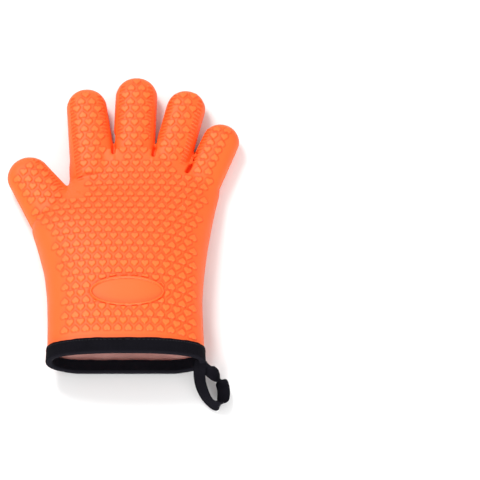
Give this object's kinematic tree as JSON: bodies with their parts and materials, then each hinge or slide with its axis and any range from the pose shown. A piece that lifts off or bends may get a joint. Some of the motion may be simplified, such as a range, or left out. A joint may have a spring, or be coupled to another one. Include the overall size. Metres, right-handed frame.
{
  "type": "heat resistant glove",
  "caption": "Five-finger silicone barbecue and oven glove with a grippy patterned palm, a cotton lining, a taped cuff and a hanging loop.",
  "frame": {"origin": "middle of the footprint, on the surface that the glove lies on, back of the hand down", "axes": "+Y from the cuff to the fingertips, +X from the thumb's side to the little finger's side, +Z out of the palm"},
  "size_m": [0.1991, 0.3152, 0.0493],
  "materials": {
    "silicone": "satin moulded silicone",
    "lining": "plain woven cotton",
    "tape": "woven cotton tape"
  },
  "bodies": {
    "palm": {"palm_shell": "silicone", "palm_lining_front": "lining", "palm_lining_back": "lining", "cuff_binding": "tape"},
    "thumb_proximal": {"thumb_proximal_shell": "silicone", "thumb_proximal_lining_front": "lining", "thumb_proximal_lining_back": "lining"},
    "thumb_distal": {"thumb_distal_shell": "silicone", "thumb_distal_lining_front": "lining", "thumb_distal_lining_back": "lining"},
    "index_proximal": {"index_proximal_shell": "silicone", "index_proximal_lining_front": "lining", "index_proximal_lining_back": "lining"},
    "index_distal": {"index_distal_shell": "silicone", "index_distal_lining_front": "lining", "index_distal_lining_back": "lining"},
    "middle_proximal": {"middle_proximal_shell": "silicone", "middle_proximal_lining_front": "lining", "middle_proximal_lining_back": "lining"},
    "middle_distal": {"middle_distal_shell": "silicone", "middle_distal_lining_front": "lining", "middle_distal_lining_back": "lining"},
    "ring_proximal": {"ring_proximal_shell": "silicone", "ring_proximal_lining_front": "lining", "ring_proximal_lining_back": "lining"},
    "ring_distal": {"ring_distal_shell": "silicone", "ring_distal_lining_front": "lining", "ring_distal_lining_back": "lining"},
    "little_proximal": {"little_proximal_shell": "silicone", "little_proximal_lining_front": "lining", "little_proximal_lining_back": "lining"},
    "little_distal": {"little_distal_shell": "silicone", "little_distal_lining_front": "lining", "little_distal_lining_back": "lining"},
    "loop": {"hanging_loop": "tape"}
  },
  "joints": [
    {"name": "thumb_knuckle", "type": "hinge", "parent": "palm", "child": "thumb_proximal", "pos_m": [-0.0675, 0.04219, 0.012], "axis": [0.8396, 0.5432, 0], "range_deg": [-10, 45], "stiffness_Nm_per_rad": 0.15},
    {"name": "thumb_tip_joint", "type": "hinge", "parent": "thumb_proximal", "child": "thumb_distal", "pos_m": [-0.07674, 0.05646, 0.012], "axis": [0.8396, 0.5432, 0], "range_deg": [-5, 45], "stiffness_Nm_per_rad": 0.15},
    {"name": "index_knuckle", "type": "hinge", "parent": "palm", "child": "index_proximal", "pos_m": [-0.0282, 0.10409, 0.012], "axis": [0.994, 0.1097, 0], "range_deg": [-15, 50], "stiffness_Nm_per_rad": 0.15},
    {"name": "index_middle_joint", "type": "hinge", "parent": "index_proximal", "child": "index_distal", "pos_m": [-0.03051, 0.12496, 0.012], "axis": [0.994, 0.1097, 0], "range_deg": [-10, 60], "stiffness_Nm_per_rad": 0.15},
    {"name": "middle_knuckle", "type": "hinge", "parent": "palm", "child": "middle_proximal", "pos_m": [0.0108, 0.10369, 0.012], "axis": [0.9994, -0.0349, 0], "range_deg": [-15, 50], "stiffness_Nm_per_rad": 0.15},
    {"name": "middle_middle_joint", "type": "hinge", "parent": "middle_proximal", "child": "middle_distal", "pos_m": [0.01163, 0.12768, 0.012], "axis": [0.9994, -0.0349, 0], "range_deg": [-10, 60], "stiffness_Nm_per_rad": 0.15},
    {"name": "ring_knuckle", "type": "hinge", "parent": "palm", "child": "ring_proximal", "pos_m": [0.0474, 0.09769, 0.012], "axis": [0.9699, -0.2436, 0], "range_deg": [-15, 50], "stiffness_Nm_per_rad": 0.15},
    {"name": "ring_middle_joint", "type": "hinge", "parent": "ring_proximal", "child": "ring_distal", "pos_m": [0.05288, 0.11951, 0.012], "axis": [0.9699, -0.2436, 0], "range_deg": [-10, 60], "stiffness_Nm_per_rad": 0.15},
    {"name": "little_knuckle", "type": "hinge", "parent": "palm", "child": "little_proximal", "pos_m": [0.0763, 0.07369, 0.012], "axis": [0.9272, -0.3746, 0], "range_deg": [-15, 50], "stiffness_Nm_per_rad": 0.15},
    {"name": "little_middle_joint", "type": "hinge", "parent": "little_proximal", "child": "little_distal", "pos_m": [0.08341, 0.09131, 0.012], "axis": [0.9272, -0.3746, 0], "range_deg": [-10, 55], "stiffness_Nm_per_rad": 0.15},
    {"name": "loop_swing", "type": "hinge", "parent": "palm", "child": "loop", "pos_m": [0.0729, -0.12851, 0.0196], "axis": [0.8942, 0.4478, 0], "range_deg": [-100, 8]}
  ]
}
